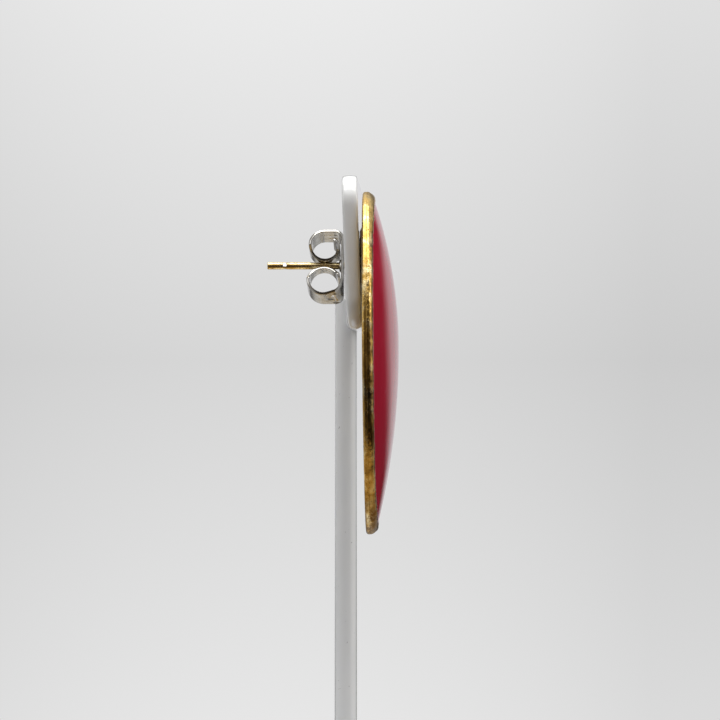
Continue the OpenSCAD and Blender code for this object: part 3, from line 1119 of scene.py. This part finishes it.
room = {
    # seen directly: brightness below, level with and above the view, within so many degrees,
    # and how it falls to the sides of its brightest place, by the square of the degrees
    "seenLow": 0.80, "seenMiddle": 0.675, "seenTop": 0.84, "seenReach": 9.0,
    "seenCentre": -3.0, "sideFall": 0.11, "sideFallAt": 72.0,
    # mirrored and lighting: a dark room and its patches, each with a colour, a form and its degrees,
    # which are azimuth and softness, then elevation and softness
    "dark": (0.020, 0.017, 0.014),
    "patches": {
        "viewerSide": ((0.085, 0.066, 0.050), "behind", (-75, 75, 15, -6, 100, 9)),
        "viewerWindow": ((1.4, 1.4, 1.38), "behind", (-105, 105, 15, 44, 66, 6)),
        "backWall": ((0.68, 0.68, 0.70), "pool", (-6, 36, 2.5, 9.5, 0.13)),
        "upperBack": ((0.82, 0.82, 0.80), "box", (-60, 50, 10, 26, 75, 12)),
        "lowerBack": ((0.66, 0.65, 0.62), "box", (-75, 75, 12, -62, -17, 6)),
        "leftWindow": ((1.15, 1.17, 1.19), "box", (-135, -98, 7, 6, 40, 5)),
        "leftWall": ((0.42, 0.42, 0.42), "box", (-98, -46, 8, -40, 14, 6)),
        "leftLow": ((0.26, 0.26, 0.255), "box", (-148, -98, 8, -45, 4, 6)),
        "rightWall": ((0.74, 0.73, 0.70), "box", (58, 125, 10, -10, 60, 5)),
        "frontWindow": ((1.9, 1.9, 1.88), "box", (94, 116, 1.5, 20, 38, 1.5)),
    },
}


def makeRoom():
    # seen directly the room is plain and pale; what the object mirrors and is lit by is a pale sweep
    # behind it, a window on the left, a duller wall on the right and a dark side towards the viewer
    world = bpy.data.worlds.new("paleRoom")
    scene.world = world
    world.use_nodes = True
    tree = world.node_tree
    tree.nodes.clear()
    way = addNode(tree, "ShaderNodeTexCoord").outputs["Generated"]
    split = addNode(tree, "ShaderNodeSeparateXYZ", {"Vector": way}).outputs
    azimuth = mapRange(tree, addMath(tree, "ARCTAN2", split["X"], split["Y"]), 0, math.pi, 0, 180)
    rise = mapRange(tree, addMath(tree, "ARCSINE", split["Z"]), 0, math.pi / 2, 0, 90)
    azimuth.node.clamp = rise.node.clamp = False

    def between(value, low, high, soft):
        # 1 between two angles, falling off softly to 0
        rising = mapRange(tree, value, low - soft, low + soft)
        return times(tree, rising, mapRange(tree, value, high - soft, high + soft, 1, 0))

    def box(low, high, soft, bottom, top, softUp):
        return times(tree, between(azimuth, low, high, soft), between(rise, bottom, top, softUp))

    def behind(low, high, soft, bottom, top, softUp):
        # outside two azimuths, which is the viewer's side
        outside = minus(tree, 1.0, between(azimuth, low, high, soft))
        return times(tree, outside, between(rise, bottom, top, softUp))

    def pool(middle, wide, middleUp, high, soft):
        # an oval, by its middle and half sizes
        squares = []
        for value, at, size in ((azimuth, middle, wide), (rise, middleUp, high)):
            part = addMath(tree, "DIVIDE", minus(tree, value, at), size)
            squares.append(times(tree, part, part))
        return mapRange(tree, addMath(tree, "SQRT", plus(tree, *squares)), 1 - soft, 1 + soft, 1, 0)

    def tinted(colour, label):
        return addNode(tree, "ShaderNodeCombineXYZ", dict(zip("XYZ", colour)), label=label).outputs["Vector"]

    forms = {"box": box, "behind": behind, "pool": pool}
    total = tinted(room["dark"], "dark")
    for name, (colour, form, degrees) in room["patches"].items():
        patch = timesVector(tree, tinted(colour, name), forms[form](*degrees))
        total = addNode(tree, "ShaderNodeVectorMath", {0: total, 1: patch}, operation="ADD").outputs["Vector"]
    aside = minus(tree, azimuth, room["seenCentre"])
    fall = mapRange(tree, times(tree, aside, aside), 0, room["sideFallAt"], 1, 1 - room["sideFall"])
    seen = addRamp(tree, mapRange(tree, rise, -room["seenReach"], room["seenReach"]), (
        (0.0, (room["seenLow"],) * 3),
        (0.5, (room["seenMiddle"],) * 3),
        (1.0, (room["seenTop"],) * 3),
    ))
    seen = timesVector(tree, seen, fall)
    direct = addNode(tree, "ShaderNodeLightPath").outputs["Is Camera Ray"]
    back = addNode(tree, "ShaderNodeBackground", {"Color": mixColour(tree, direct, total, seen)})
    addNode(tree, "ShaderNodeOutputWorld", {"Surface": back.outputs["Background"]})


lamp = {"at": (0.0, -45.0, 470.0), "size": (400.0, 335.0), "radiance": 4.3, "colour": (1.0, 0.99, 0.975)}


def makeLamp():
    data = bpy.data.lights.new("overhead", "AREA")
    data.shape = "RECTANGLE"
    data.size, data.size_y = (s * mm for s in lamp["size"])
    # an area lamp's power is its radiance times its area times pi
    data.energy = lamp["radiance"] * math.pi * data.size * data.size_y
    data.color = lamp["colour"]
    addPiece("overhead", data).location = Vector(lamp["at"]) * mm


view = {
    "target": (2.331, -26.5, 69.444), "distance": 270.0, "turn": 1.3,
    "pixelsPerMm": 9.0, "pixels": 720, "sensor": 36.0,
}


def makeCamera():
    turn = math.radians(view["turn"])
    ahead = Vector((-math.sin(turn), math.cos(turn), 0))
    data = bpy.data.cameras.new("photoCamera")
    halfWide = view["pixels"] / 2 / view["pixelsPerMm"]
    data.sensor_width = view["sensor"]
    data.lens = view["sensor"] / 2 * view["distance"] / halfWide
    data.clip_start, data.clip_end = 0.005, 20.0  # in metres
    camera = addPiece("photoCamera", data)
    camera.location = (Vector(view["target"]) - ahead * view["distance"]) * mm
    camera.rotation_euler = (math.radians(90), 0, turn)
    scene.camera = camera


makeTable()
makeRoom()
makeLamp()
makeCamera()
scene.view_settings.view_transform = "Standard"
print("stage, light and camera ready")
